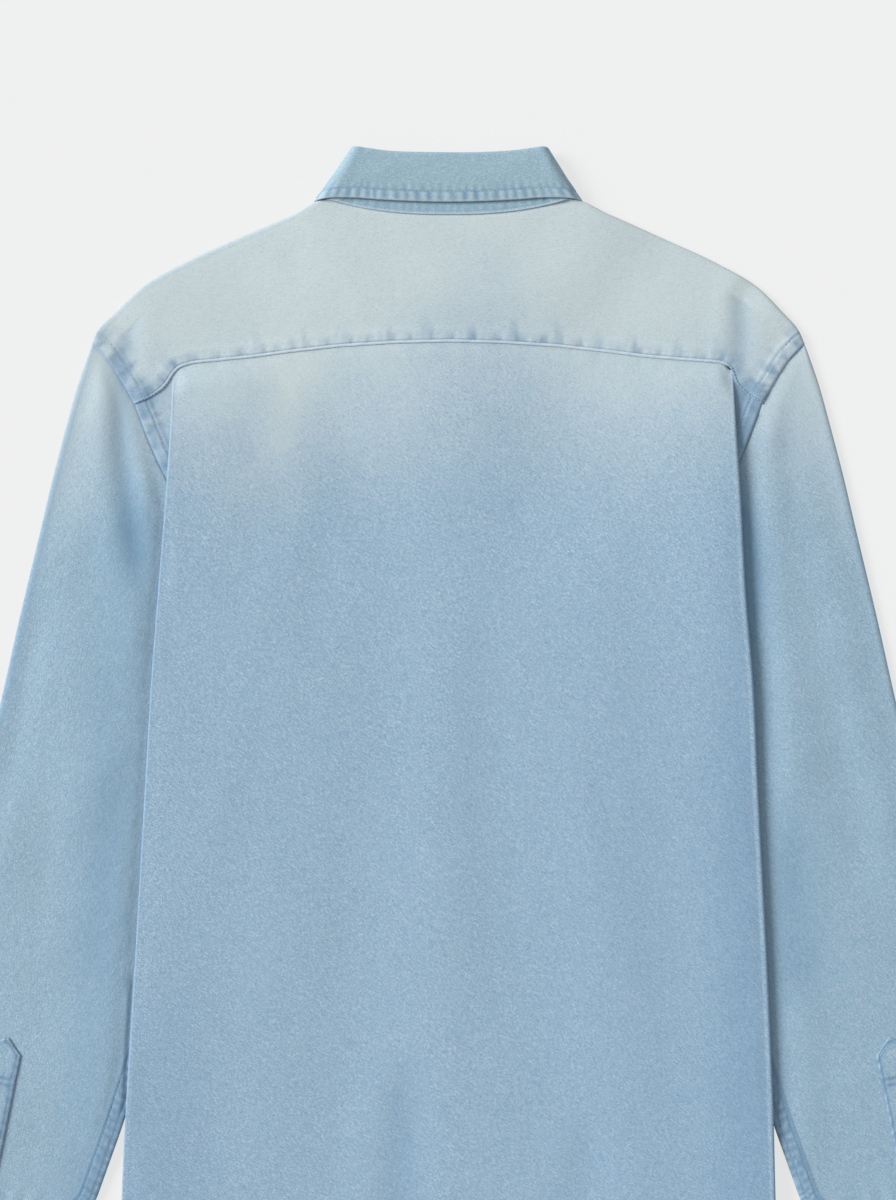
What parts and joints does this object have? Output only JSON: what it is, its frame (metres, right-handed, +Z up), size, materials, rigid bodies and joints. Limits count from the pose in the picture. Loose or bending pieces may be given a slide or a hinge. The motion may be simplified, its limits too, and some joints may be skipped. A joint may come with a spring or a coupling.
{
  "type": "denim shirt laid flat, back up",
  "caption": "Long-sleeved light-wash denim shirt laid flat with its back up: shoulder yoke, pointed collar on a stand, tucked-in sides, buttoned front band, cuffs and a shirt-tail hem.",
  "frame": {"origin": "middle of the shirt's box, on the surface it lies on", "axes": "+Z up from the surface, out of the shirt's back; +Y towards the collar; the wearer's left is at -X"},
  "size_m": [0.7958, 0.8359, 0.0156],
  "materials": {
    "denim": "light-wash blue denim twill, matte",
    "denim_faded": "sun-faded denim twill, matte",
    "denim_collar": "light-wash denim with puckered stitched edges, matte",
    "button": "pearly grey-white resin, soft gloss"
  },
  "bodies": {
    "root": {"back": "denim", "yoke": "denim_faded", "front_left": "denim", "front_right": "denim", "band_left": "denim", "band_right": "denim", "sleeve_left": "denim", "sleeve_right": "denim", "cuff_left": "denim", "cuff_right": "denim", "placket_left": "denim", "placket_right": "denim", "collar_leaf": "denim_collar", "collar_stand": "denim_collar", "button_collar": "button", "button_front_1": "button", "button_front_2": "button", "button_front_3": "button", "button_front_4": "button", "button_front_5": "button", "button_front_6": "button", "button_cuff_left": "button", "button_cuff_right": "button"}
  },
  "joints": []
}
